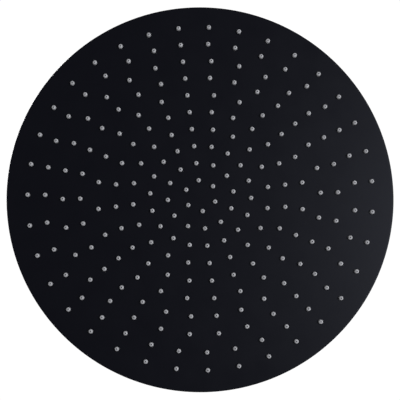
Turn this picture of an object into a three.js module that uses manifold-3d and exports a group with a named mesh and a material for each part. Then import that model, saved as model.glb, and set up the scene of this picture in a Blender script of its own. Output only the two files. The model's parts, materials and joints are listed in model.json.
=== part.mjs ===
// Round rain shower head, 300 mm across, hung from its supply pipe by a ball swivel.
// Millimetres, +Z up. The origin is the centre of the inlet's mouth, and the head hangs below it.
// The spray face looks down. All nozzle rings share one spoke, which lies along +Y.

import * as THREE from "three";
import { mergeVertices } from "three/addons/utils/BufferGeometryUtils.js";
import Module from "manifold-3d";

// ---------------------------------------------------------------- driving dimensions

const GAP = 0.15; // between faces that touch on the real head
const FIT = 0.3; // between round pieces that screw or slide into each other

// Spray face
const FACE_RADIUS = 150;
const FACE_THICKNESS = 2;
const FACE_HOLE_RADIUS = 1.95;

// Nozzles, in rings about the centre
const NOZZLES_PER_RING = [6, 12, 18, 20, 24, 24, 30, 30, 35, 35];
const FIRST_RING_RADIUS = 12.07;
const RING_PITCH = 13.49;
const SPOKE_ANGLE = Math.PI / 2; // where every ring starts
const NOZZLE_BASE_RADIUS = 1.7;
const NOZZLE_TIP_RADIUS = 1.5;
const NOZZLE_STAND_OUT = 2.6; // below the face
const MAT_THICKNESS = 1.4;
const MAT_RADIUS = 138.5;

// Body
const RIM_HEIGHT = 9; // face to the top of the cover's edge
const CROWN_HEIGHT = 16.7; // face to the flat seat round the hub
const COVER_WALL = 2.6;
const SKIRT_WALL = 2.6;
const RIM_ROUNDING = 3;
const SEAT_RADIUS = 27; // flat middle of the cover
const CLAMP_LIP = 2.4; // how far the clamp ring reaches over the mat
const SCREW_COUNT = 8;
const SCREW_CIRCLE = 144.4;

// Swivel
const BALL_RADIUS = 12;
const BALL_Z = -35;
const BALL_TO_FACE = 31.5;
const LINER_WALL = 1.7; // friction ring and seal, which line the socket
const SOCKET_RADIUS = BALL_RADIUS + FIT + LINER_WALL + FIT;
const NECK_RADIUS = 6.25;
const WATERWAY_RADIUS = 4;

// Inlet: G 1/2 female thread, drawn at its major diameter of 20.955 mm
const INLET_RADIUS = 20.955 / 2;
const INLET_DEPTH = 12;
const COLLAR_ACROSS_FLATS = 26;
const COLLAR_HEIGHT = 19;

// Hub, and the nuts on its outside thread
const HUB_RADIUS = 16.5;
const HUB_BORE = 7;
const HUB_FLANGE_RADIUS = 23.5;
const HUB_FLANGE_HEIGHT = 4;
const NUT_RADIUS = 19.5;
const NUT_HEIGHT = 22;
const LOCK_NUT_ACROSS_FLATS = 41;
const LOCK_NUT_HEIGHT = 4.5;

// Facets
const BIG_SIDES = 64; // face, cover, clamp ring
const HUB_SIDES = 32; // swivel and hub
const SMALL_SIDES = 20; // washers and rings in the inlet
const HOLE_SIDES = 6; // nozzles and their holes
const SCREW_SIDES = 8;

// ---------------------------------------------------------------- heights that follow

const FACE_Z = BALL_Z - BALL_TO_FACE;
const PLATE_TOP = FACE_Z + FACE_THICKNESS;
const MAT_BOTTOM = PLATE_TOP + GAP;
const MAT_TOP = MAT_BOTTOM + MAT_THICKNESS;
const TIP_Z = FACE_Z - NOZZLE_STAND_OUT;
const RIM_TOP = FACE_Z + RIM_HEIGHT;
const CROWN_TOP = FACE_Z + CROWN_HEIGHT;
const CLAMP_TOP = RIM_TOP - COVER_WALL - GAP;

// ---------------------------------------------------------------- shape helpers

const wasm = await Module();
wasm.setup();

const radians = THREE.MathUtils.degToRad;

// A ring of points in the XY plane.
function ringOfPoints(count, radius, startAngle = 0, centre = [0, 0]) {
  return Array.from({ length: count }, (_, i) => {
    const angle = startAngle + (i * 2 * Math.PI) / count;
    return new THREE.Vector2(
      centre[0] + radius * Math.cos(angle),
      centre[1] + radius * Math.sin(angle),
    );
  });
}

// A solid of revolution about Z from [radius, height] pairs, which run anticlockwise with radius to the
// right and height up. A profile that doesn't touch the axis is closed on itself.
function turned(profile, sides) {
  const points = profile.map(([r, z]) => new THREE.Vector2(r, z));
  const touchesAxis = profile[0][0] === 0;
  if (!touchesAxis) points.push(points[0].clone());
  return new THREE.LatheGeometry(points, sides).rotateX(Math.PI / 2);
}

// Points [radius, height] on a circle about the ball's centre, by angle from straight up, in degrees.
function ballArc(radius, fromDegrees, toDegrees, steps) {
  return Array.from({ length: steps + 1 }, (_, i) => {
    const angle = radians(fromDegrees + ((toDegrees - fromDegrees) * i) / steps);
    return [radius * Math.sin(angle), BALL_Z + radius * Math.cos(angle)];
  });
}

// An upright prism with the given outline and holes, from one height to another.
function prism(outline, holes, fromZ, toZ) {
  const shape = new THREE.Shape(outline);
  shape.holes = holes.map((points) => new THREE.Path(points));
  const depth = toZ - fromZ;
  return new THREE.ExtrudeGeometry(shape, { depth, bevelEnabled: false }).translate(0, 0, fromZ);
}

function hexagon(acrossFlats) {
  return ringOfPoints(6, acrossFlats / 2 / Math.cos(Math.PI / 6));
}

// An O-ring: a circle of the section's radius, turned at the ring's radius.
function oRing(ringRadius, sectionRadius, z, sides, sectionSides = 8) {
  const section = Array.from({ length: sectionSides }, (_, i) => {
    const angle = (i * 2 * Math.PI) / sectionSides;
    return [ringRadius + sectionRadius * Math.cos(angle), z + sectionRadius * Math.sin(angle)];
  });
  return turned(section, sides);
}

// Geometry to a manifold solid, and back.
function solidOf(geometry) {
  const bare = geometry.clone();
  bare.deleteAttribute("normal");
  bare.deleteAttribute("uv");
  const merged = mergeVertices(bare, 1e-4);
  return new wasm.Manifold(
    new wasm.Mesh({
      numProp: 3,
      vertProperties: merged.attributes.position.array,
      triVerts: new Uint32Array(merged.index.array),
    }),
  );
}

function geometryOf(solid) {
  const { vertProperties, triVerts } = solid.getMesh();
  const geometry = new THREE.BufferGeometry();
  geometry.setAttribute("position", new THREE.BufferAttribute(vertProperties, 3));
  geometry.setIndex(new THREE.BufferAttribute(triVerts, 1));
  geometry.computeVertexNormals();
  return geometry;
}

// ---------------------------------------------------------------- materials

const blackPlastic = new THREE.MeshStandardMaterial({ color: 0x141519, roughness: 0.5, metalness: 0 });
const blackMetal = new THREE.MeshStandardMaterial({ color: 0x16171b, roughness: 0.4, metalness: 0.3 });
const brass = new THREE.MeshStandardMaterial({ color: 0xb08d4a, roughness: 0.35, metalness: 1 });
const steel = new THREE.MeshStandardMaterial({ color: 0xb4b6ba, roughness: 0.3, metalness: 1 });
const greySilicone = new THREE.MeshStandardMaterial({ color: 0xa6a6ad, roughness: 0.6, metalness: 0 });
const blackRubber = new THREE.MeshStandardMaterial({ color: 0x1b1b1c, roughness: 0.8, metalness: 0 });
const whitePlastic = new THREE.MeshStandardMaterial({ color: 0xe6e4de, roughness: 0.45, metalness: 0 });

// ---------------------------------------------------------------- spray face

function nozzleCentres() {
  return NOZZLES_PER_RING.flatMap((count, ring) =>
    ringOfPoints(count, FIRST_RING_RADIUS + ring * RING_PITCH, SPOKE_ANGLE),
  );
}

// The flat disc that shows, with a hole for each nozzle.
function facePlate() {
  const holes = nozzleCentres().map(({ x, y }) =>
    ringOfPoints(HOLE_SIDES, FACE_HOLE_RADIUS, SPOKE_ANGLE, [x, y]),
  );
  return prism(ringOfPoints(BIG_SIDES, FACE_RADIUS), holes, FACE_Z, PLATE_TOP);
}

// One silicone moulding: a sheet behind the face, with a nipple through every hole.
function nozzleMat() {
  const length = MAT_BOTTOM + MAT_THICKNESS / 2 - TIP_Z;
  const nipple = new THREE.CylinderGeometry(NOZZLE_TIP_RADIUS, NOZZLE_BASE_RADIUS, length, HOLE_SIDES)
    .rotateX(-Math.PI / 2)
    .translate(0, 0, TIP_Z + length / 2);
  const nippleSolid = solidOf(nipple);
  const nipples = nozzleCentres().map(({ x, y }) => nippleSolid.translate([x, y, 0]));
  const sheet = solidOf(prism(ringOfPoints(BIG_SIDES, MAT_RADIUS), [], MAT_BOTTOM, MAT_TOP));
  return geometryOf(wasm.Manifold.union([sheet, ...nipples]));
}

// ---------------------------------------------------------------- body

const screwCentres = ringOfPoints(SCREW_COUNT, SCREW_CIRCLE, Math.PI / SCREW_COUNT);

// A countersunk screw's profile about its own axis, grown by a clearance for its hole.
function screwProfile(clearance, topZ) {
  const head = 2.8 + clearance;
  const shank = 1.3 + clearance;
  const headDepth = 1.6;
  const length = 6.2 + clearance;
  return [
    [0, topZ - length],
    [shank, topZ - length],
    [shank, topZ - headDepth],
    [head, topZ],
    [0, topZ],
  ];
}

const SCREW_TOP = RIM_TOP - 0.1;

// What the screw takes out of the cover and the clamp ring, open at the top.
function screwCutter() {
  const profile = screwProfile(FIT, SCREW_TOP);
  const [, , , rim] = profile;
  const above = [rim[0], RIM_TOP + 1];
  return solidOf(turned([...profile.slice(0, 4), above, [0, above[1]]], SCREW_SIDES));
}

function withScrewHoles(geometry) {
  const cutter = screwCutter();
  const cutters = screwCentres.map(({ x, y }) => cutter.translate([x, y, 0]));
  return geometryOf(solidOf(geometry).subtract(wasm.Manifold.union(cutters)));
}

// The outer line of the cover from the seat to its edge: a slope that starts and ends level.
function coverSlope(fromRadius, toRadius, fromZ, toZ, steps) {
  return Array.from({ length: steps + 1 }, (_, i) => {
    const share = i / steps;
    const ease = (1 - Math.cos(Math.PI * share)) / 2;
    return [fromRadius + (toRadius - fromRadius) * share, fromZ + (toZ - fromZ) * ease];
  });
}

function backCover() {
  const hole = HUB_RADIUS + FIT;
  const inner = FACE_RADIUS - SKIRT_WALL;
  const edgeStart = FACE_RADIUS - RIM_ROUNDING;
  const levelStart = SCREW_CIRCLE - 6;
  const rounding = [0, 1, 2].map((i) => {
    const angle = (i / 2) * (Math.PI / 2);
    return [
      edgeStart + RIM_ROUNDING * Math.cos(angle),
      RIM_TOP - RIM_ROUNDING + RIM_ROUNDING * Math.sin(angle),
    ];
  });
  const outerSlope = coverSlope(levelStart, SEAT_RADIUS, RIM_TOP, CROWN_TOP, 4);
  const innerSlope = coverSlope(
    SEAT_RADIUS,
    levelStart,
    CROWN_TOP - COVER_WALL,
    RIM_TOP - COVER_WALL,
    4,
  );
  return withScrewHoles(
    turned(
      [
        [hole, CROWN_TOP - COVER_WALL],
        ...innerSlope,
        [inner, RIM_TOP - COVER_WALL],
        [inner, PLATE_TOP + GAP],
        [FACE_RADIUS, PLATE_TOP + GAP],
        ...rounding,
        ...outerSlope,
        [hole, CROWN_TOP],
      ],
      BIG_SIDES,
    ),
  );
}

const RIM_SEAL = { radius: 140.4, section: 1, floor: CLAMP_TOP - 1.9 };

// Holds the mat's edge down on the face plate and takes the cover's screws.
function clampRing() {
  const { radius, section, floor } = RIM_SEAL;
  const outer = FACE_RADIUS - SKIRT_WALL - FIT;
  const foot = MAT_RADIUS + FIT;
  const lip = MAT_RADIUS - CLAMP_LIP;
  const groove = section + 0.25;
  return withScrewHoles(
    turned(
      [
        [foot, PLATE_TOP + GAP],
        [outer, PLATE_TOP + GAP],
        [outer, CLAMP_TOP],
        [radius + groove, CLAMP_TOP],
        [radius + groove, floor],
        [radius - groove, floor],
        [radius - groove, CLAMP_TOP],
        [lip, CLAMP_TOP],
        [lip, MAT_TOP + GAP],
        [foot, MAT_TOP + GAP],
      ],
      BIG_SIDES,
    ),
  );
}

function rimSeal() {
  const { radius, section, floor } = RIM_SEAL;
  return oRing(radius, section - 0.1, floor + section, BIG_SIDES, 6);
}

function coverScrew({ x, y }) {
  return turned(screwProfile(0, SCREW_TOP), SCREW_SIDES).translate(x, y, 0);
}

// ---------------------------------------------------------------- hub

const HUB_TOP = BALL_Z - FIT;
const FLANGE_TOP = CROWN_TOP - COVER_WALL - GAP;
const FLANGE_BOTTOM = FLANGE_TOP - HUB_FLANGE_HEIGHT;
const HUB_SEAL = { radius: 20, section: 1.2, floor: FLANGE_TOP - 2.2 };
const SOCKET_FLOOR_ANGLE = 138; // where the socket's sphere ends, from straight up

// Brass body: ball socket above, waterway through, flange under the cover.
function hub() {
  const { radius, section, floor } = HUB_SEAL;
  const groove = section + 0.25;
  const funnelBottom = BALL_Z - 13.5;
  return turned(
    [
      [HUB_BORE, FLANGE_BOTTOM],
      [HUB_FLANGE_RADIUS, FLANGE_BOTTOM],
      [HUB_FLANGE_RADIUS, FLANGE_TOP],
      [radius + groove, FLANGE_TOP],
      [radius + groove, floor],
      [radius - groove, floor],
      [radius - groove, FLANGE_TOP],
      [HUB_RADIUS, FLANGE_TOP],
      [HUB_RADIUS, HUB_TOP],
      ...ballArc(SOCKET_RADIUS, 91.5, SOCKET_FLOOR_ANGLE, 5),
      [HUB_BORE, funnelBottom],
    ],
    HUB_SIDES,
  );
}

function hubSeal() {
  const { radius, section, floor } = HUB_SEAL;
  return oRing(radius, section - 0.1, floor + section, HUB_SIDES, 6);
}

// Thin hexagon nut that pulls the hub's flange up against the cover.
function hubLockNut() {
  const bore = ringOfPoints(HUB_SIDES, HUB_RADIUS + FIT);
  const bottom = CROWN_TOP + GAP;
  return prism(hexagon(LOCK_NUT_ACROSS_FLATS), [bore], bottom, bottom + LOCK_NUT_HEIGHT);
}

// ---------------------------------------------------------------- swivel

const NUT_LIP_ANGLE = 42.5; // where the lip over the ball starts, from straight up: it stops the neck

// Screws down on the hub and holds the ball in its socket.
function collarNut() {
  const [lipRadius, lipZ] = ballArc(SOCKET_RADIUS, NUT_LIP_ANGLE, NUT_LIP_ANGLE, 1)[0];
  const top = lipZ + 1.6;
  const bottom = top - NUT_HEIGHT;
  const threadTop = BALL_Z + 0.5;
  const domeRadius = 6;
  const dome = [0, 1, 2, 3].map((i) => {
    const angle = (i / 3) * (Math.PI / 2);
    return [
      NUT_RADIUS - domeRadius + domeRadius * Math.cos(angle),
      top - domeRadius + domeRadius * Math.sin(angle),
    ];
  });
  return turned(
    [
      [HUB_RADIUS + FIT, bottom],
      [NUT_RADIUS, bottom],
      ...dome,
      [lipRadius + 0.3, top],
      ...ballArc(SOCKET_RADIUS, NUT_LIP_ANGLE, 88, 4),
      [HUB_RADIUS + FIT, threadTop],
    ],
    HUB_SIDES,
  );
}

// A liner between ball and socket. It is round inside and out, so the ball slides in it and it slides in
// the socket.
function liner(fromDegrees, toDegrees) {
  const inside = BALL_RADIUS + FIT;
  return turned(
    [
      ...ballArc(inside, fromDegrees, toDegrees, 3),
      ...ballArc(inside + LINER_WALL, toDegrees, fromDegrees, 3),
    ],
    HUB_SIDES,
  );
}

const REGULATOR_POCKET = { radius: 7.6, depth: 4.8 };
const NECK_TOP = -COLLAR_HEIGHT;

// One brass turning: hexagon collar with the inlet thread, neck, and the ball below.
function ballStem() {
  const pocketBottom = -INLET_DEPTH - REGULATOR_POCKET.depth;
  const mouthRadius = 6;
  const mouthAngle = 180 - THREE.MathUtils.radToDeg(Math.asin(mouthRadius / BALL_RADIUS));
  const neckAngle = THREE.MathUtils.radToDeg(Math.asin(NECK_RADIUS / BALL_RADIUS));
  const ballBottom = ballArc(BALL_RADIUS, mouthAngle, mouthAngle, 1)[0][1];
  const neckAndBall = turned(
    [
      [0, ballBottom],
      ...ballArc(BALL_RADIUS, mouthAngle, neckAngle, 9),
      [NECK_RADIUS, NECK_TOP + 1],
      [0, NECK_TOP + 1],
    ],
    HUB_SIDES,
  );
  const corner = COLLAR_ACROSS_FLATS / 2 / Math.cos(Math.PI / 6);
  const chamfer = 1.2;
  const blank = turned(
    [
      [0, NECK_TOP],
      [corner - chamfer, NECK_TOP],
      [corner, NECK_TOP + chamfer],
      [corner, -chamfer],
      [corner - chamfer, 0],
      [0, 0],
    ],
    HUB_SIDES,
  );
  const hexagonBar = prism(hexagon(COLLAR_ACROSS_FLATS), [], NECK_TOP - 1, 1);
  const water = turned(
    [
      [0, ballBottom - 1],
      [mouthRadius - 0.6, ballBottom - 1],
      [mouthRadius - 0.6, ballBottom],
      [WATERWAY_RADIUS, ballBottom + 3],
      [WATERWAY_RADIUS, pocketBottom],
      [REGULATOR_POCKET.radius, pocketBottom],
      [REGULATOR_POCKET.radius, -INLET_DEPTH],
      [INLET_RADIUS, -INLET_DEPTH],
      [INLET_RADIUS, 1],
      [0, 1],
    ],
    HUB_SIDES,
  );
  const collar = solidOf(blank).intersect(solidOf(hexagonBar));
  return geometryOf(collar.add(solidOf(neckAndBall)).subtract(solidOf(water)));
}

// ---------------------------------------------------------------- inlet

const WASHER = { inside: 6.2, outside: 9.9, thickness: 2.2 };
const REGULATOR_SEAL = { radius: 6.65, section: 0.75 };

function inletWasher() {
  const { inside, outside, thickness } = WASHER;
  const bottom = -INLET_DEPTH + GAP;
  return turned(
    [
      [inside, bottom],
      [outside, bottom],
      [outside, bottom + thickness],
      [inside, bottom + thickness],
    ],
    SMALL_SIDES,
  );
}

// Domed gauze in the washer's hole.
function inletFilter() {
  const radius = WASHER.inside - FIT;
  const edge = -INLET_DEPTH + GAP + 0.6;
  const rise = 2;
  const wall = 0.5;
  const steps = [0, 1, 2, 3];
  const line = (offset) =>
    steps.map((i) => {
      const share = i / steps.length;
      const r = (radius - 0.9) * (1 - share);
      return [r, edge + offset + rise * (1 - (1 - share) ** 2)];
    });
  return turned(
    [
      [0, edge + rise],
      ...line(0).reverse(),
      [radius, edge],
      [radius, edge + wall],
      ...line(wall),
      [0, edge + rise + wall],
    ],
    SMALL_SIDES,
  );
}

// Plastic disc with a fixed orifice, and a groove for its seal.
function flowRegulator() {
  const radius = REGULATOR_POCKET.radius - FIT;
  const top = -INLET_DEPTH - GAP;
  const bottom = -INLET_DEPTH - REGULATOR_POCKET.depth + GAP;
  const middle = (top + bottom) / 2;
  const grooveHalf = REGULATOR_SEAL.section + 0.2;
  const grooveFloor = REGULATOR_SEAL.radius - REGULATOR_SEAL.section - 0.15;
  const orifice = 1.6;
  return turned(
    [
      [orifice, bottom + 1.2],
      [orifice + 1.6, bottom],
      [radius, bottom],
      [radius, middle - grooveHalf],
      [grooveFloor, middle - grooveHalf],
      [grooveFloor, middle + grooveHalf],
      [radius, middle + grooveHalf],
      [radius, top],
      [orifice + 2.6, top],
      [orifice, top - 1.6],
    ],
    SMALL_SIDES,
  );
}

function regulatorSeal() {
  const { radius, section } = REGULATOR_SEAL;
  return oRing(radius, section, -INLET_DEPTH - REGULATOR_POCKET.depth / 2, SMALL_SIDES, 6);
}

// ---------------------------------------------------------------- assembly

const head = new THREE.Group();

function add(name, geometry, material) {
  const mesh = new THREE.Mesh(geometry, material);
  mesh.name = name;
  head.add(mesh);
}

add("face_plate", facePlate(), blackPlastic);
add("nozzle_mat", nozzleMat(), greySilicone);
add("clamp_ring", clampRing(), blackPlastic);
add("rim_seal", rimSeal(), blackRubber);
add("back_cover", backCover(), blackPlastic);
screwCentres.forEach((centre, i) => {
  add(`cover_screw_${String(i + 1).padStart(2, "0")}`, coverScrew(centre), steel);
});

add("hub", hub(), brass);
add("hub_seal", hubSeal(), blackRubber);
add("hub_lock_nut", hubLockNut(), blackMetal);

add("collar_nut", collarNut(), blackMetal);
add("friction_ring", liner(58, 85), whitePlastic);
add("ball_seal", liner(105, 125), blackRubber);
add("ball_stem", ballStem(), blackMetal);

add("inlet_washer", inletWasher(), blackRubber);
add("inlet_filter", inletFilter(), steel);
add("flow_regulator", flowRegulator(), whitePlastic);
add("regulator_seal", regulatorSeal(), blackRubber);

export default head;
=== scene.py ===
"""Round rain shower head, 300 mm across, in satin black with grey silicone nozzles.

It hangs from its inlet by a ball swivel, with the spray face down, and the camera looks up at the face.
Lengths are in metres. Heights and outlines come from the CAD frame's boxes, so every piece lies where its
CAD node does.
"""

import json
import math
import random

import bmesh
import bpy
import numpy as np
from mathutils import Matrix, Vector
from mathutils.geometry import delaunay_2d_cdt


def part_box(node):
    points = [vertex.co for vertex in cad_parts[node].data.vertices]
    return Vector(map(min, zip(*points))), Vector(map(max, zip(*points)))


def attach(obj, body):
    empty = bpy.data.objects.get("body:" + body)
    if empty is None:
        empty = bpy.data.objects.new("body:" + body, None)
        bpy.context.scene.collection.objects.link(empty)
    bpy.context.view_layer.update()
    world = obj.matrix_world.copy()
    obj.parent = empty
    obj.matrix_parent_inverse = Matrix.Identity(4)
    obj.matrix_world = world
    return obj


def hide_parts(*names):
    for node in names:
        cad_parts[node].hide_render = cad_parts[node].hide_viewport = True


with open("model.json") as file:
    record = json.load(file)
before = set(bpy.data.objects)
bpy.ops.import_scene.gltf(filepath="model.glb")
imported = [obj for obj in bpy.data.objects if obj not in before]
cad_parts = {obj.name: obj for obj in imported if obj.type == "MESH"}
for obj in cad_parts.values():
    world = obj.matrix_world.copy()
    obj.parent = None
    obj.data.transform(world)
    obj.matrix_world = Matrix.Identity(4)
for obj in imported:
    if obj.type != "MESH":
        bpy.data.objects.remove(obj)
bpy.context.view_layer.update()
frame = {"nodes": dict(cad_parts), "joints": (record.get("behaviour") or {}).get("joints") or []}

MM = 0.001

# ---------------------------------------------------------------- sizes

# Nozzle rings about the head's axis: all of them start on the spoke along +Y
NOZZLES_PER_RING = (6, 12, 18, 20, 24, 24, 30, 30, 35, 35)
FIRST_RING_RADIUS = 12.07 * MM
RING_PITCH = 13.49 * MM

# Clearances of the CAD model
GAP = 0.15 * MM
FIT = 0.3 * MM

# Spray face
PLATE_THICKNESS = 2 * MM
HOLE_RADIUS = 1.85 * MM
HOLE_CHAMFER = 0.15 * MM
EDGE_ROUNDING = 0.7 * MM

# A nozzle: silicone cone with a bore for one jet
NOZZLE_BASE_RADIUS = 1.75 * MM
NOZZLE_TIP_RADIUS = 1.65 * MM
NOZZLE_DOME_HEIGHT = 1.1 * MM
BORE_RADIUS = 0.44 * MM

# Cover and clamp ring
RIM_HEIGHT = 9 * MM  # face to the top of the cover's edge
RIM_ROUNDING = 3 * MM
COVER_WALL = 2.6 * MM
SEAT_RADIUS = 27 * MM  # flat middle of the cover
SLOPE_END_RADIUS = 138.4 * MM  # level from there to the edge
CLAMP_LIP = 2.4 * MM  # how far the clamp ring reaches over the mat
SEAL_SINK = 0.1 * MM  # from an O-ring's lowest point to the floor of its groove

# Ball swivel
BALL_RADIUS = 12 * MM
BALL_CENTRE = Vector(frame["joints"][0]["pos_m"])
NECK_RADIUS = 6.25 * MM
SOCKET_RADIUS = 14.3 * MM
WATERWAY_RADIUS = 4 * MM
NUT_LIP_DEG = 42.5  # where the collar nut's lip over the ball starts, from straight up

# Hub
HUB_RADIUS = 16.5 * MM
HUB_BORE = 7 * MM
NUT_BORE = HUB_RADIUS + FIT  # and the hole in the cover

# Inlet
COLLAR_HEIGHT = 19 * MM
INLET_DEPTH = 12 * MM
POCKET_RADIUS = 7.6 * MM  # for the flow regulator
POCKET_DEPTH = 4.8 * MM

# Whitworth pipe thread of the inlet
THREAD_PITCH = 1.814 * MM
THREAD_MINOR_RADIUS = 18.631 / 2 * MM
THREAD_MAJOR_RADIUS = 20.955 / 2 * MM

# Facets
FACE_SIDES = 240
HOLE_SIDES = 20
HUB_SIDES = 96


# ---------------------------------------------------------------- mesh helpers


def circle(count, radius, start=0.0, centre=(0.0, 0.0)):
    """Points of a circle in the XY plane, anticlockwise."""
    turn = start + np.arange(count) * 2 * math.pi / count
    return np.column_stack([centre[0] + radius * np.cos(turn), centre[1] + radius * np.sin(turn)])


def softened(profile, rounding, steps=3, closed=True):
    """The profile with rounded corners: each becomes a short curve between the corner's two sides."""
    points = [Vector(p) for p in profile]
    count = len(points)
    out = []
    for i, corner in enumerate(points):
        at_end = not closed and i in (0, count - 1)
        before, after = points[i - 1] - corner, points[(i + 1) % count] - corner
        sharp = not at_end and before.length > 1e-9 and after.length > 1e-9
        if not sharp or corner.x < 1e-9 or before.angle(after) > math.radians(165):
            out.append(corner)
            continue
        start = corner + before.normalized() * min(rounding, before.length * 0.45)
        end = corner + after.normalized() * min(rounding, after.length * 0.45)
        for k in range(steps + 1):
            t = k / steps
            out.append(start * (1 - t) ** 2 + corner * 2 * t * (1 - t) + end * t * t)
    return out


def ball_arc(radius, start_deg, end_deg, steps):
    """Profile points on a circle about the ball's centre, by angle from straight up."""
    angles = np.radians(np.linspace(start_deg, end_deg, steps + 1))
    return [(radius * math.sin(a), BALL_CENTRE.z + radius * math.cos(a)) for a in angles]


def new_mesh(name, verts, faces):
    mesh = bpy.data.meshes.new(name)
    mesh.from_pydata(verts, [], faces)
    return mesh


def facing_out(mesh, weld=0.0):
    """Turns the mesh's faces outwards, after merging the points that lie closer than weld."""
    bm = bmesh.new()
    bm.from_mesh(mesh)
    if weld:
        bmesh.ops.remove_doubles(bm, verts=bm.verts, dist=weld)
        bmesh.ops.dissolve_degenerate(bm, edges=bm.edges, dist=weld / 10)
    bmesh.ops.recalc_face_normals(bm, faces=bm.faces)
    bm.to_mesh(mesh)
    bm.free()
    return mesh


def ring_strips(first, count_along, sides):
    """Quads between neighbouring rings of vertices, numbered from first, one ring after another."""
    faces = []
    for level in range(count_along - 1):
        low = first + level * sides
        for k in range(sides):
            nxt = (k + 1) % sides
            faces.append((low + k, low + nxt, low + sides + nxt, low + sides + k))
    return faces


def turned_mesh(name, profile, sides=HUB_SIDES):
    """A solid of revolution about Z from a closed profile of (radius, height) pairs."""
    points = [*profile, profile[0]]
    rings = [np.column_stack([circle(sides, r), np.full(sides, z)]) for r, z in points]
    mesh = new_mesh(name, np.vstack(rings).tolist(), ring_strips(0, len(points), sides))
    return facing_out(mesh, weld=1e-7)


def swept_mesh(name, path, section):
    """A rod along a list of points: section lists (sideways, upwards) offsets, and Z stays up."""
    path = [Vector(p) for p in path]
    verts = []
    for i, p in enumerate(path):
        ahead = path[min(i + 1, len(path) - 1)]
        behind = path[max(i - 1, 0)]
        along = (ahead - behind).normalized()
        side = along.cross(Vector((0, 0, 1))).normalized()
        up = side.cross(along)
        verts += [p + side * x + up * y for x, y in section]
    sides = len(section)
    ends = [tuple(range(sides)), tuple(range(len(verts) - sides, len(verts)))]
    return facing_out(new_mesh(name, verts, ring_strips(0, len(path), sides) + ends))


def prism_mesh(name, outline, low, high):
    """An upright prism with the given outline."""
    count = len(outline)
    verts = [(x, y, z) for z in (low, high) for x, y in outline]
    faces = ring_strips(0, 2, count) + [tuple(reversed(range(count))), tuple(range(count, 2 * count))]
    return new_mesh(name, verts, faces)


def hexagon(across_flats):
    return circle(6, across_flats / 2 / math.cos(math.pi / 6))


def nozzle_centres():
    rings = []
    for ring, count in enumerate(NOZZLES_PER_RING):
        rings.append(circle(count, FIRST_RING_RADIUS + ring * RING_PITCH, math.pi / 2))
    return np.vstack(rings)


def perforated_mesh(name, rim, hole):
    """A disc with something at each nozzle's place. rim and hole are profiles of (radius, height) from the
    disc's lower side to its upper one: the disc's edge, and the wall of each hole or nozzle."""
    centres = nozzle_centres()
    verts = [np.column_stack([circle(FACE_SIDES, r), np.full(FACE_SIDES, z)]) for r, z in rim]
    faces = ring_strips(0, len(rim), FACE_SIDES)
    low_loop = list(range(FACE_SIDES))
    high_loop = [(len(rim) - 1) * FACE_SIDES + k for k in range(FACE_SIDES)]
    loops = [(low_loop, high_loop)]
    for centre in centres:
        first = sum(len(v) for v in verts)
        for r, z in hole:
            verts.append(np.column_stack([circle(HOLE_SIDES, r, centre=centre), np.full(HOLE_SIDES, z)]))
        faces += [tuple(reversed(f)) for f in ring_strips(first, len(hole), HOLE_SIDES)]
        top = first + (len(hole) - 1) * HOLE_SIDES
        loops.append(([first + k for k in range(HOLE_SIDES)], [top + k for k in range(HOLE_SIDES)]))
    verts = np.vstack(verts)

    # One flat triangulation round all the loops serves both sides.
    low = [i for low_side, _ in loops for i in low_side]
    high = [i for _, high_side in loops for i in high_side]
    flat = [Vector(verts[i][:2]) for i in low]
    edges, first = [], 0
    for low_side, _ in loops:
        count = len(low_side)
        edges += [(first + k, first + (k + 1) % count) for k in range(count)]
        first += count
    _, _, triangles, _, _, _ = delaunay_2d_cdt(flat, edges, [], 1, 1e-9)
    flat = np.array(flat)
    for triangle in triangles:
        middle = flat[list(triangle)].mean(axis=0)
        if np.linalg.norm(centres - middle, axis=1).min() > hole[0][0]:
            a, b, c = triangle
            faces += [(low[a], low[c], low[b]), (high[a], high[b], high[c])]
    return new_mesh(name, verts.tolist(), faces)


def joined(name, *meshes):
    """Several meshes as the islands of one."""
    bm = bmesh.new()
    for mesh in meshes:
        bm.from_mesh(mesh)
    out = bpy.data.meshes.new(name)
    bm.to_mesh(out)
    bm.free()
    return out


def cut(mesh, tools, operation="DIFFERENCE"):
    """The mesh after a boolean with each of the tool meshes."""
    scene = bpy.context.scene
    base = bpy.data.objects.new("cut_base", mesh)
    scene.collection.objects.link(base)
    helpers = []
    for tool in tools:
        helper = bpy.data.objects.new("cut_tool", tool)
        scene.collection.objects.link(helper)
        modifier = base.modifiers.new("cut", "BOOLEAN")
        modifier.operation = operation
        modifier.solver = "EXACT"
        modifier.object = helper
        helpers.append(helper)
    evaluated = base.evaluated_get(bpy.context.evaluated_depsgraph_get())
    result = bpy.data.meshes.new_from_object(evaluated)
    for o in [base, *helpers]:
        bpy.data.objects.remove(o)
    bm = bmesh.new()
    bm.from_mesh(result)
    bmesh.ops.dissolve_degenerate(bm, edges=bm.edges, dist=1e-7)
    bm.to_mesh(result)
    bm.free()
    return result


def placed(mesh, x, y, turn=0.0):
    """A copy of the mesh, turned about Z and moved."""
    copy = mesh.copy()
    copy.transform(Matrix.Translation((x, y, 0)) @ Matrix.Rotation(turn, 4, "Z"))
    return copy


def add_piece(name, mesh, material, body, node, bevel=0.0, smooth_deg=35):
    """Puts a finished mesh in the scene as the piece that stands for a CAD node."""
    mesh.name = name
    mesh.materials.clear()
    mesh.materials.append(material)
    mesh.shade_smooth()
    mesh.set_sharp_from_angle(angle=math.radians(smooth_deg))
    piece = bpy.data.objects.new(name, mesh)
    bpy.context.scene.collection.objects.link(piece)
    if bevel:
        modifier = piece.modifiers.new("bevel", "BEVEL")
        modifier.width = bevel
        modifier.segments = 2
        modifier.limit_method = "ANGLE"
        modifier.angle_limit = math.radians(smooth_deg)
    shading = piece.modifiers.new("flat_faces", "WEIGHTED_NORMAL")
    shading.weight = 90
    shading.keep_sharp = True
    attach(piece, body)
    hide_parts(node)


# ---------------------------------------------------------------- materials


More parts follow.
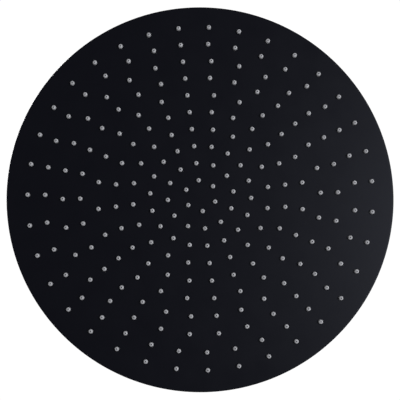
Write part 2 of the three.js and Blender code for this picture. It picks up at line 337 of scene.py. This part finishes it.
class Shader:
    """A node material built a node at a time round one Principled shader."""

    def __init__(self, name, color, roughness, metallic=0.0, specular=0.5):
        self.material = bpy.data.materials.new(name)
        self.material.use_nodes = True
        self.nodes = self.material.node_tree.nodes
        self.links = self.material.node_tree.links
        self.shader = self.nodes["Principled BSDF"]
        self.shader.inputs["Base Color"].default_value = (*color, 1)
        self.shader.inputs["Roughness"].default_value = roughness
        self.shader.inputs["Metallic"].default_value = metallic
        self.shader.inputs["Specular IOR Level"].default_value = specular
        self.place = self.nodes.new("ShaderNodeTexCoord").outputs["Object"]

    def noise(self, size, detail=4.0):
        """Noise whose grains are about size across, in metres."""
        node = self.nodes.new("ShaderNodeTexNoise")
        node.inputs["Scale"].default_value = 1 / size
        node.inputs["Detail"].default_value = detail
        node.inputs["Roughness"].default_value = 0.55
        self.links.new(self.place, node.inputs["Vector"])
        return node.outputs["Fac"]

    def ramp(self, value, low, high):
        """The middle of the value's range spread between two colours or two greys."""
        node = self.nodes.new("ShaderNodeValToRGB")
        first, last = node.color_ramp.elements
        first.position, last.position = 0.3, 0.7
        for element, level in ((first, low), (last, high)):
            element.color = (*level, 1) if hasattr(level, "__len__") else (level, level, level, 1)
        self.links.new(value, node.inputs["Fac"])
        return node.outputs["Color"]

    def drive(self, socket, value):
        self.links.new(value, self.shader.inputs[socket])

    def bump(self, height, distance):
        """Fine relief, distance deep."""
        node = self.nodes.new("ShaderNodeBump")
        node.inputs["Distance"].default_value = distance
        self.links.new(height, node.inputs["Height"])
        self.drive("Normal", node.outputs["Normal"])


def satin_black(name, color, roughness, specular):
    """Moulded black plastic with a fine spark-eroded grain, a cool sheen and faint handling marks."""
    s = Shader(name, color, roughness, specular=specular)
    s.shader.inputs["Specular Tint"].default_value = (0.84, 0.88, 1.0, 1)
    s.bump(s.noise(0.35 * MM, detail=3), 0.012 * MM)
    s.drive("Roughness", s.ramp(s.noise(22 * MM, detail=5), roughness - 0.03, roughness + 0.03))
    return s.material


def silicone_grey():
    """Matt grey silicone, a little uneven from nozzle to nozzle."""
    s = Shader("silicone_grey", (0.150, 0.152, 0.160), 0.55, specular=0.3)
    s.drive("Base Color", s.ramp(s.noise(9 * MM, detail=3), (0.139, 0.140, 0.148), (0.161, 0.163, 0.173)))
    s.bump(s.noise(0.25 * MM, detail=2), 0.01 * MM)
    s.shader.inputs["Subsurface Weight"].default_value = 0.1
    s.shader.inputs["Subsurface Radius"].default_value = (0.001, 0.001, 0.001)
    s.shader.inputs["Subsurface Scale"].default_value = 0.6
    return s.material


def coated_black():
    """Satin black coating on brass, smoother than the plastic, with a slight orange peel."""
    s = Shader("coated_black", (0.008, 0.008, 0.01), 0.36, specular=0.5)
    s.bump(s.noise(1.6 * MM, detail=2), 0.02 * MM)
    s.drive("Roughness", s.ramp(s.noise(7 * MM), 0.33, 0.41))
    return s.material


def turned_brass():
    """Machined brass, with fine lathe lines round the axis and dull patches."""
    s = Shader("turned_brass", (0.72, 0.5, 0.21), 0.3, metallic=1.0)
    rings = s.nodes.new("ShaderNodeTexWave")
    rings.wave_type = "BANDS"
    rings.bands_direction = "Z"
    rings.inputs["Scale"].default_value = 1200  # a line about every 0.25 mm
    rings.inputs["Distortion"].default_value = 1.5
    s.links.new(s.place, rings.inputs["Vector"])
    s.bump(rings.outputs["Fac"], 0.006 * MM)
    s.drive("Base Color", s.ramp(s.noise(6 * MM), (0.6, 0.4, 0.16), (0.76, 0.54, 0.24)))
    s.drive("Roughness", s.ramp(s.noise(4 * MM), 0.24, 0.4))
    return s.material


def black_rubber():
    """Black rubber with a dusty, pitted skin."""
    s = Shader("black_rubber", (0.02, 0.02, 0.021), 0.75, specular=0.3)
    s.drive("Base Color", s.ramp(s.noise(3 * MM), (0.014, 0.014, 0.015), (0.03, 0.03, 0.031)))
    s.bump(s.noise(0.3 * MM, detail=3), 0.02 * MM)
    return s.material


def white_acetal():
    """Off-white acetal, slightly waxy."""
    s = Shader("white_acetal", (0.75, 0.74, 0.7), 0.38, specular=0.45)
    s.drive("Base Color", s.ramp(s.noise(5 * MM), (0.7, 0.69, 0.64), (0.79, 0.78, 0.74)))
    s.bump(s.noise(0.6 * MM, detail=3), 0.01 * MM)
    s.shader.inputs["Subsurface Weight"].default_value = 0.15
    s.shader.inputs["Subsurface Scale"].default_value = 0.002
    return s.material


def stainless_steel():
    """Plain stainless steel with fine scratches."""
    s = Shader("stainless_steel", (0.62, 0.62, 0.64), 0.28, metallic=1.0)
    s.drive("Roughness", s.ramp(s.noise(0.8 * MM, detail=6), 0.2, 0.38))
    s.bump(s.noise(0.2 * MM, detail=4), 0.004 * MM)
    return s.material


FACE_BLACK = satin_black("face_black", (0.0002, 0.0002, 0.0011), 0.4, 0.043)
SHELL_BLACK = satin_black("shell_black", (0.0020, 0.0020, 0.0032), 0.42, 0.2)
SILICONE = silicone_grey()
COATING = coated_black()
BRASS = turned_brass()
RUBBER = black_rubber()
ACETAL = white_acetal()
STEEL = stainless_steel()

# ---------------------------------------------------------------- spray face and nozzles


def make_face_plate():
    low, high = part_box("face_plate")
    radius = high.x
    inner = radius - 2 * MM
    rim = softened(
        [(inner, low.z), (radius, low.z), (radius, high.z), (inner, high.z)],
        EDGE_ROUNDING,
        steps=5,
        closed=False,
    )
    hole = [
        (HOLE_RADIUS + HOLE_CHAMFER, low.z),
        (HOLE_RADIUS + HOLE_CHAMFER * 0.3, low.z + HOLE_CHAMFER * 0.3),
        (HOLE_RADIUS, low.z + HOLE_CHAMFER),
        (HOLE_RADIUS, high.z),
    ]
    mesh = perforated_mesh("face_plate_disc", rim, hole)
    add_piece("face_plate_disc", mesh, FACE_BLACK, "head", "face_plate")


def nozzle_profile(tip, sheet_low, sheet_high):
    """From the sheet's lower side, down the cone, round the tip and up the bore to the sheet's top."""
    root, lip = 0.4 * MM, 0.12 * MM
    mouth = math.acos((BORE_RADIUS + lip) / NOZZLE_TIP_RADIUS)
    top_of_dome = tip + NOZZLE_DOME_HEIGHT * math.sin(mouth)
    dome = [
        (NOZZLE_TIP_RADIUS * math.cos(a), top_of_dome - NOZZLE_DOME_HEIGHT * math.sin(a))
        for a in np.linspace(0, mouth, 9)
    ]
    return [
        (NOZZLE_BASE_RADIUS + root * 1.2, sheet_low),
        (NOZZLE_BASE_RADIUS, sheet_low - root),
        *dome,
        (BORE_RADIUS, tip + lip),
        (BORE_RADIUS, sheet_high - 0.6 * MM),
        (BORE_RADIUS * 1.7, sheet_high),
    ]


def make_nozzle_mat():
    low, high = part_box("nozzle_mat")
    sheet_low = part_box("face_plate")[1].z + GAP
    radius = high.x
    inner = radius - 1 * MM
    rim = softened(
        [(inner, sheet_low), (radius, sheet_low), (radius, high.z), (inner, high.z)],
        0.3 * MM,
        steps=2,
        closed=False,
    )
    mesh = perforated_mesh("nozzle_mat_moulding", rim, nozzle_profile(low.z, sheet_low, high.z))
    add_piece("nozzle_mat_moulding", mesh, SILICONE, "head", "nozzle_mat", smooth_deg=50)


# ---------------------------------------------------------------- body of the head

SCREW_NODES = sorted(n for n in frame["nodes"] if n.startswith("cover_screw_"))


def screw_centre(node):
    low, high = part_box(node)
    return (low.x + high.x) / 2, (low.y + high.y) / 2


def screw_outline(clearance, top):
    """Countersunk screw: shank, cone and flat head, about its own axis."""
    head, shank = 2.8 * MM + clearance, 1.3 * MM + clearance
    length, head_depth = 6.2 * MM + clearance, 1.6 * MM
    return [
        (0, top - length),
        (shank, top - length),
        (shank, top - head_depth),
        (head, top - 0.15 * MM),
        (head, top),
        (0, top),
    ]


def screw_hole_tool(top):
    """What a screw takes out of the cover and the clamp ring, open at the top."""
    outline = screw_outline(FIT, top)
    head = outline[4][0]
    above = top + 2 * MM
    return turned_mesh("screw_hole", [*outline[:4], (head, above), (0, above)], 24)


def with_screw_holes(mesh):
    tool = screw_hole_tool(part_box(SCREW_NODES[0])[1].z)
    return cut(mesh, [placed(tool, *screw_centre(node)) for node in SCREW_NODES])


def cross_recess_tool(top):
    """The cross of a screwdriver's tip, whose four arms get shorter downwards."""
    arm, half_width, depth = 2.1 * MM, 0.31 * MM, 1.15 * MM
    arm_at_floor = 0.35 * arm
    quarter = [Vector((arm, -half_width)), Vector((arm, half_width)), Vector((half_width, half_width))]
    outline = [Matrix.Rotation(turn * math.pi / 2, 2) @ p for turn in range(4) for p in quarter]
    mesh = prism_mesh("cross", outline, top - depth, top + 1 * MM)
    for v in mesh.vertices[: len(outline)]:
        for axis in (0, 1):
            if abs(v.co[axis]) > arm_at_floor:
                v.co[axis] = math.copysign(arm_at_floor, v.co[axis])
    return mesh


def cover_slope(start_radius, end_radius, start_z, end_z, steps):
    """The cover's line between two level stretches: a slope that starts and ends level."""
    share = np.linspace(0, 1, steps + 1)
    ease = (1 - np.cos(np.pi * share)) / 2
    radii = start_radius + (end_radius - start_radius) * share
    return list(zip(radii, start_z + (end_z - start_z) * ease))


def make_back_cover():
    low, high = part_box("back_cover")
    outer, inner = high.x, high.x - COVER_WALL
    ceiling = high.z - COVER_WALL
    rim_top = low.z - GAP - PLATE_THICKNESS + RIM_HEIGHT
    rim_ceiling = rim_top - COVER_WALL
    arc_radius, arc_height = outer - RIM_ROUNDING, rim_top - RIM_ROUNDING
    rim_arc = [
        (arc_radius + RIM_ROUNDING * math.cos(a), arc_height + RIM_ROUNDING * math.sin(a))
        for a in np.linspace(0, math.pi / 2, 9)
    ]
    above_foot = low.z + 3 * MM
    foot = softened(
        [(inner, above_foot), (inner, low.z), (outer, low.z), (outer, above_foot)],
        0.35 * MM,
        closed=False,
    )
    profile = [
        (NUT_BORE, ceiling),
        *cover_slope(SEAT_RADIUS, SLOPE_END_RADIUS, ceiling, rim_ceiling, 24),
        (inner, rim_ceiling),
        *foot[1:-1],
        *rim_arc,
        *cover_slope(SLOPE_END_RADIUS, SEAT_RADIUS, rim_top, high.z, 24),
        (NUT_BORE + 0.4 * MM, high.z),
        (NUT_BORE, high.z - 0.4 * MM),
    ]
    mesh = with_screw_holes(turned_mesh("back_cover_shell", profile, FACE_SIDES))
    add_piece("back_cover_shell", mesh, SHELL_BLACK, "head", "back_cover", smooth_deg=30)


def make_clamp_ring():
    low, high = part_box("clamp_ring")
    seal_low, seal_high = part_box("rim_seal")
    seal_radius = seal_high.x - (seal_high.z - seal_low.z) / 2
    groove = 1.25 * MM
    groove_floor = seal_low.z - SEAL_SINK
    mat_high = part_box("nozzle_mat")[1]
    foot = mat_high.x + FIT
    lip = mat_high.x - CLAMP_LIP
    profile = softened(
        [
            (foot, low.z),
            (high.x, low.z),
            (high.x, high.z),
            (seal_radius + groove, high.z),
            (seal_radius + groove, groove_floor),
            (seal_radius - groove, groove_floor),
            (seal_radius - groove, high.z),
            (lip, high.z),
            (lip, mat_high.z + GAP),
            (foot, mat_high.z + GAP),
        ],
        0.2 * MM,
        steps=2,
    )
    mesh = with_screw_holes(turned_mesh("clamp_ring_moulding", profile, FACE_SIDES))
    add_piece("clamp_ring_moulding", mesh, SHELL_BLACK, "head", "clamp_ring", smooth_deg=30)


def make_o_ring(name, node, body, sides=HUB_SIDES):
    """A round-section rubber ring that fills its CAD node's box."""
    low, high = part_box(node)
    middle = (low.z + high.z) / 2
    half_height = (high.z - low.z) / 2
    half_width = half_height / math.sin(math.radians(60))  # the CAD ring's section is a hexagon
    ring = high.x - half_width
    profile = [
        (ring + half_width * math.cos(a), middle + half_height * math.sin(a))
        for a in np.linspace(0, 2 * math.pi, 16, endpoint=False)
    ]
    add_piece(name, turned_mesh(name, profile, sides), RUBBER, body, node)


def make_screws():
    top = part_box(SCREW_NODES[0])[1].z
    outline = softened(screw_outline(0, top), 0.12 * MM, steps=2)
    screw = cut(turned_mesh("screw", outline, 40), [cross_recess_tool(top)])
    pick = random.Random(7)
    for node in SCREW_NODES:
        mesh = placed(screw, *screw_centre(node), turn=pick.uniform(0, math.pi))
        add_piece(node + "_steel", mesh, STEEL, "head", node, smooth_deg=30)


# ---------------------------------------------------------------- hub and swivel


def thread_teeth(radius, low, high, pitch, depth):
    """Profile of an outside thread as rings: crests at radius, from low to high."""
    points = []
    count = int((high - low) / pitch)
    for i in range(count):
        z = low + i * pitch
        crest = [(radius, z), (radius, z + pitch * 0.2)]
        root = [(radius - depth, z + pitch * 0.5), (radius - depth, z + pitch * 0.7)]
        points += crest + root
    return [*points, (radius, low + count * pitch)]


def make_hub():
    low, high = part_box("hub")
    flange_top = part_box("back_cover")[1].z - COVER_WALL - GAP
    seal_radius, groove = 20 * MM, 1.45 * MM
    groove_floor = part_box("hub_seal")[0].z - SEAL_SINK
    thread_low, thread_high = flange_top + 7.5 * MM, high.z - 0.8 * MM
    profile = [
        (HUB_BORE, low.z + 0.5 * MM),
        (HUB_BORE + 0.5 * MM, low.z),
        (high.x - 0.4 * MM, low.z),
        (high.x, low.z + 0.4 * MM),
        (high.x, flange_top - 0.3 * MM),
        (high.x - 0.3 * MM, flange_top),
        (seal_radius + groove, flange_top),
        (seal_radius + groove, groove_floor),
        (seal_radius - groove, groove_floor),
        (seal_radius - groove, flange_top),
        (HUB_RADIUS, flange_top),
        *thread_teeth(HUB_RADIUS, thread_low, thread_high, pitch=1 * MM, depth=0.45 * MM),
        (HUB_RADIUS - 0.6 * MM, high.z),
        *ball_arc(SOCKET_RADIUS, 91.2, 138, 20),
        (HUB_BORE, BALL_CENTRE.z - 13.5 * MM),
    ]
    add_piece("hub_body", turned_mesh("hub_body", profile), BRASS, "head", "hub", smooth_deg=25)


def make_hub_lock_nut():
    low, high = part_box("hub_lock_nut")
    flats = high.y - low.y
    corner = flats / 2 / math.cos(math.pi / 6)
    chamfer = 1 * MM
    blank = turned_mesh(
        "lock_nut_blank",
        [
            (NUT_BORE, low.z + 0.5 * MM),
            (NUT_BORE + 0.5 * MM, low.z),
            (corner, low.z),
            (corner, high.z - chamfer),
            (corner - chamfer * 1.9, high.z),
            (NUT_BORE + 0.5 * MM, high.z),
            (NUT_BORE, high.z - 0.5 * MM),
        ],
    )
    bar = prism_mesh("lock_nut_bar", hexagon(flats), low.z - 1 * MM, high.z + 1 * MM)
    mesh = cut(blank, [bar], "INTERSECT")
    add_piece("hub_lock_nut_hexagon", mesh, COATING, "head", "hub_lock_nut",
              bevel=0.15 * MM, smooth_deg=25)


def press_flutes(mesh, radius, low, high, count, depth):
    """Presses a ring of upright finger grooves into the mesh's outer wall between two heights."""
    run_out_length = 2 * MM
    for v in mesh.vertices:
        r = math.hypot(v.co.x, v.co.y)
        if r < radius - 0.3 * MM or not low <= v.co.z <= high:
            continue
        turn = math.atan2(v.co.y, v.co.x)
        to_end = min(1.0, (v.co.z - low) / run_out_length, (high - v.co.z) / run_out_length)
        run_out = math.sqrt(1 - (1 - to_end) ** 2)
        press = depth * (0.5 + 0.5 * math.cos(turn * count)) ** 2 * run_out
        v.co.x *= (r - press) / r
        v.co.y *= (r - press) / r


def make_collar_nut():
    low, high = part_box("collar_nut")
    radius = high.x
    lip_radius = SOCKET_RADIUS * math.sin(math.radians(NUT_LIP_DEG))
    dome = 6 * MM
    wall_low, wall_high = low.z + 0.5 * MM, high.z - dome
    heights = [
        *np.linspace(wall_low, wall_low + 3.5 * MM, 22),
        *np.linspace(wall_low + 4.5 * MM, wall_high - 3.5 * MM, 6),
        *np.linspace(wall_high - 2.5 * MM, wall_high, 18),
    ]
    wall = [(radius, z) for z in heights]
    dome_arc = [
        (radius - dome + dome * math.cos(a), high.z - dome + dome * math.sin(a))
        for a in np.linspace(0, math.pi / 2, 12)[1:]
    ]
    profile = [
        (NUT_BORE, low.z + 0.6 * MM),
        (NUT_BORE + 0.6 * MM, low.z),
        (radius - 0.5 * MM, low.z),
        *wall,
        *dome_arc,
        (lip_radius + 0.7 * MM, high.z),
        (lip_radius + 0.3 * MM, high.z - 0.4 * MM),
        *ball_arc(SOCKET_RADIUS, NUT_LIP_DEG, 88, 16),
        (NUT_BORE, BALL_CENTRE.z + 0.5 * MM),
    ]
    mesh = turned_mesh("collar_nut_shell", profile, 288)
    press_flutes(mesh, radius, low.z + 1.5 * MM, wall_high, count=24, depth=0.9 * MM)
    add_piece("collar_nut_shell", mesh, COATING, "head", "collar_nut")


def make_liner(name, node, body, start_deg, end_deg, material):
    inside, outside = BALL_RADIUS + FIT, SOCKET_RADIUS - FIT
    profile = softened(
        [*ball_arc(inside, start_deg, end_deg, 10), *ball_arc(outside, end_deg, start_deg, 10)],
        0.25 * MM,
        steps=2,
    )
    add_piece(name, turned_mesh(name, profile), material, body, node)


def inlet_thread_mesh(top, bottom):
    """The inlet's thread: a ridge that winds down the bore, faded out at both ends."""
    per_turn = 64
    fading_steps = per_turn * 0.3
    steps = int((top - bottom) / THREAD_PITCH * per_turn)
    wall = THREAD_MAJOR_RADIUS + 0.05 * MM
    verts = []
    for i in range(steps + 1):
        angle = 2 * math.pi * i / per_turn
        z = top - THREAD_PITCH * i / per_turn
        fade = min(1.0, i / fading_steps, (steps - i) / fading_steps)
        crest = wall - (wall - THREAD_MINOR_RADIUS) * max(0.08, fade)
        for r, dz in ((wall, 0.46), (crest, 0.1), (crest, -0.1), (wall, -0.46)):
            verts.append((r * math.cos(angle), r * math.sin(angle), z + dz * THREAD_PITCH))
    faces = ring_strips(0, steps + 1, 4)
    faces += [(0, 1, 2, 3), tuple(range(len(verts) - 4, len(verts)))]
    return facing_out(new_mesh("inlet_thread", verts, faces))


def make_ball_stem():
    low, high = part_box("ball_stem")
    flats = high.y - low.y
    corner = flats / 2 / math.cos(math.pi / 6)
    chamfer = 1.2 * MM
    collar_low = high.z - COLLAR_HEIGHT
    inlet_low = high.z - INLET_DEPTH
    pocket_low = inlet_low - POCKET_DEPTH
    mouth_deg, neck_deg = 150, math.degrees(math.asin(NECK_RADIUS / BALL_RADIUS))
    ball_low = BALL_CENTRE.z + BALL_RADIUS * math.cos(math.radians(mouth_deg))
    fillet = 0.8 * MM
    neck_top = [
        (NECK_RADIUS + fillet - fillet * math.cos(a), collar_low - fillet + fillet * math.sin(a))
        for a in np.linspace(0, math.pi / 2, 6)
    ]
    waterway = [
        (THREAD_MAJOR_RADIUS, high.z - 0.8 * MM),
        (THREAD_MAJOR_RADIUS, inlet_low),
        (POCKET_RADIUS, inlet_low),
        (POCKET_RADIUS, pocket_low),
        (WATERWAY_RADIUS, pocket_low),
        (WATERWAY_RADIUS, ball_low + 3 * MM),
        (5.4 * MM, ball_low),
    ]
    profile = [
        *ball_arc(BALL_RADIUS, mouth_deg, neck_deg, 40),
        *neck_top,
        (corner - chamfer, collar_low),
        (corner, collar_low + chamfer * 0.6),
        (corner, high.z - chamfer * 0.6),
        (corner - chamfer, high.z),
        (THREAD_MAJOR_RADIUS + 0.8 * MM, high.z),
        *waterway,
    ]
    bar = prism_mesh("collar_bar", hexagon(flats), collar_low - 25 * MM, high.z + 1 * MM)
    body = cut(turned_mesh("stem_blank", profile), [bar], "INTERSECT")
    thread = inlet_thread_mesh(high.z - 1.4 * MM, inlet_low + 3.2 * MM)
    mesh = joined("ball_stem_body", body, thread)
    add_piece("ball_stem_body", mesh, COATING, "inlet", "ball_stem", smooth_deg=25)


# ---------------------------------------------------------------- inside the inlet


def make_inlet_washer():
    low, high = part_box("inlet_washer")
    inside = 6.2 * MM
    profile = softened([(inside, low.z), (high.x, low.z), (high.x, high.z), (inside, high.z)], 0.3 * MM)
    add_piece("inlet_washer_rubber", turned_mesh("inlet_washer_rubber", profile), RUBBER, "inlet",
              "inlet_washer")


def make_inlet_filter():
    """A rim with two crossing sets of fine wires over a low dome."""
    low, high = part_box("inlet_filter")
    radius = high.x
    wire = 0.13 * MM
    reach = radius - 0.5 * MM
    rise = high.z - low.z - 3 * wire

    def dome_z(x, y, weave):
        return low.z + wire * 1.5 + rise * (1 - (x * x + y * y) / reach**2) + weave

    spacing, wires_each_side = 0.82 * MM, 6
    section = circle(6, wire)
    wires = []
    for family in (0, 1):
        for k in range(-wires_each_side, wires_each_side + 1):
            offset = k * spacing
            half = math.sqrt(reach**2 - offset**2)
            steps = max(6, int(half / spacing) * 4)
            path = []
            for t in np.linspace(-half, half, steps + 1):
                weave = wire * math.cos(math.pi * (t / spacing + k + family))
                x, y = (t, offset) if family == 0 else (offset, t)
                path.append((x, y, dome_z(x, y, weave)))
            wires.append(swept_mesh("wire", path, section))
    inner, rim_top = radius - 1 * MM, low.z + 0.6 * MM
    outline = [(inner, low.z), (radius, low.z), (radius, rim_top), (inner, rim_top)]
    rim = turned_mesh("filter_rim", softened(outline, 0.15 * MM, steps=2), 64)
    mesh = joined("inlet_filter_gauze", rim, *wires)
    add_piece("inlet_filter_gauze", mesh, STEEL, "inlet", "inlet_filter")


def make_flow_regulator():
    low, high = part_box("flow_regulator")
    radius = high.x
    middle = (low.z + high.z) / 2
    groove_half, groove_floor, orifice = 0.95 * MM, 5.75 * MM, 1.6 * MM
    profile = softened(
        [
            (orifice, low.z + 1.2 * MM),
            (orifice + 1.6 * MM, low.z),
            (radius, low.z),
            (radius, middle - groove_half),
            (groove_floor, middle - groove_half),
            (groove_floor, middle + groove_half),
            (radius, middle + groove_half),
            (radius, high.z),
            (orifice + 2.6 * MM, high.z),
            (orifice, high.z - 1.6 * MM),
        ],
        0.2 * MM,
        steps=2,
    )
    add_piece("flow_regulator_disc", turned_mesh("flow_regulator_disc", profile, 64), ACETAL, "inlet",
              "flow_regulator")


make_face_plate()
make_nozzle_mat()
make_back_cover()
make_clamp_ring()
make_o_ring("rim_seal_ring", "rim_seal", "head", FACE_SIDES)
make_screws()
make_hub()
make_o_ring("hub_seal_ring", "hub_seal", "head")
make_hub_lock_nut()
make_collar_nut()
make_liner("friction_ring_liner", "friction_ring", "swivel_ring", 58, 85, ACETAL)
make_liner("ball_seal_liner", "ball_seal", "swivel_seal", 105, 125, RUBBER)
make_ball_stem()
make_inlet_washer()
make_inlet_filter()
make_flow_regulator()
make_o_ring("regulator_seal_ring", "regulator_seal", "inlet", 64)

# ---------------------------------------------------------------- floor, light and camera

ROLL = math.radians(7.41)  # between the nozzles' common spoke and the picture's upright
TILT_BACK = math.radians(5.9)  # the face's far side is the picture's top
TILT_ASIDE = math.radians(0.87)  # and its right side is a little farther than its left
CAMERA_DISTANCE = 0.747
FOCAL_LENGTH, SENSOR_WIDTH = 87.12, 36.0  # millimetres
AIM_RIGHT, AIM_UP = 0.00071, 0.00474  # the face's middle off the picture's middle, per metre of distance
FLOOR_DEPTH = 2.1
COOL_WHITE = (0.96, 0.97, 1.0)

IMAGE_RIGHT = Vector((-math.cos(ROLL), -math.sin(ROLL), 0))
IMAGE_UP = Vector((-math.sin(ROLL), math.cos(ROLL), 0))
TOWARDS_CAMERA = Vector((0, 0, -1))


def face_centre():
    return Vector((0, 0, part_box("nozzle_mat")[0].z))


def make_camera():
    """Below the face and a little to one side of its middle, looking up."""
    face_axes = Matrix((IMAGE_RIGHT, IMAGE_UP, TOWARDS_CAMERA)).transposed()
    face_to_camera = Matrix.Rotation(TILT_ASIDE, 3, "Y") @ Matrix.Rotation(-TILT_BACK, 3, "X")
    camera_axes = face_axes @ face_to_camera.transposed()
    place = face_centre() + camera_axes @ Vector((-AIM_RIGHT, -AIM_UP, 1)) * CAMERA_DISTANCE
    data = bpy.data.cameras.new("camera")
    data.sensor_width = SENSOR_WIDTH
    data.lens = FOCAL_LENGTH
    data.clip_start, data.clip_end = 0.01, 50
    camera = bpy.data.objects.new("camera", data)
    camera.matrix_world = Matrix.Translation(place) @ camera_axes.to_4x4()
    bpy.context.scene.collection.objects.link(camera)
    bpy.context.scene.camera = camera


def softbox(name, right, up, below, size, energy, color=(1, 1, 1)):
    """A round soft light that faces the head's middle, placed by the picture's directions."""
    data = bpy.data.lights.new(name, "AREA")
    data.shape = "DISK"
    data.size = size
    data.energy = energy
    data.color = color
    light = bpy.data.objects.new(name, data)
    offset = IMAGE_RIGHT * right + IMAGE_UP * up + TOWARDS_CAMERA * below
    light.location = face_centre() + offset
    light.rotation_euler = (-offset).to_track_quat("-Z", "Y").to_euler()
    light.visible_camera = False
    bpy.context.scene.collection.objects.link(light)
    return light


def make_floor():
    half_side, z = 60, -FLOOR_DEPTH
    corners = [(x * half_side, y * half_side, z) for x, y in ((-1, -1), (1, -1), (1, 1), (-1, 1))]
    mesh = new_mesh("floor", corners, [(0, 1, 2, 3)])
    mesh.materials.append(Shader("floor_pale", (0.84, 0.84, 0.84), 0.8, specular=0.2).material)
    floor = bpy.data.objects.new("floor", mesh)
    bpy.context.scene.collection.objects.link(floor)


def make_world():
    """An even white surround: it is the backdrop and the soft light from all sides."""
    world = bpy.data.worlds.new("studio")
    world.use_nodes = True
    surround = world.node_tree.nodes["Background"]
    surround.inputs["Color"].default_value = (1, 1, 1, 1)
    surround.inputs["Strength"].default_value = 1.05
    bpy.context.scene.world = world


def make_lights():
    """One large light in two parts, for the sheen on the plastic and for the matt nozzles, and one above."""
    beside = {"right": 0.94, "up": 0.01, "below": 1.15, "size": 0.72, "color": COOL_WHITE}
    sheen = softbox("sheen_softbox", energy=69.5, **beside)
    sheen.visible_diffuse = False
    fill = softbox("fill_softbox", energy=30, **beside)
    fill.visible_glossy = False
    softbox("top_softbox", right=-0.9, up=0.6, below=-1.5, size=0.9, energy=60)


make_floor()
make_world()
make_lights()
make_camera()
bpy.context.scene.view_settings.view_transform = "Standard"
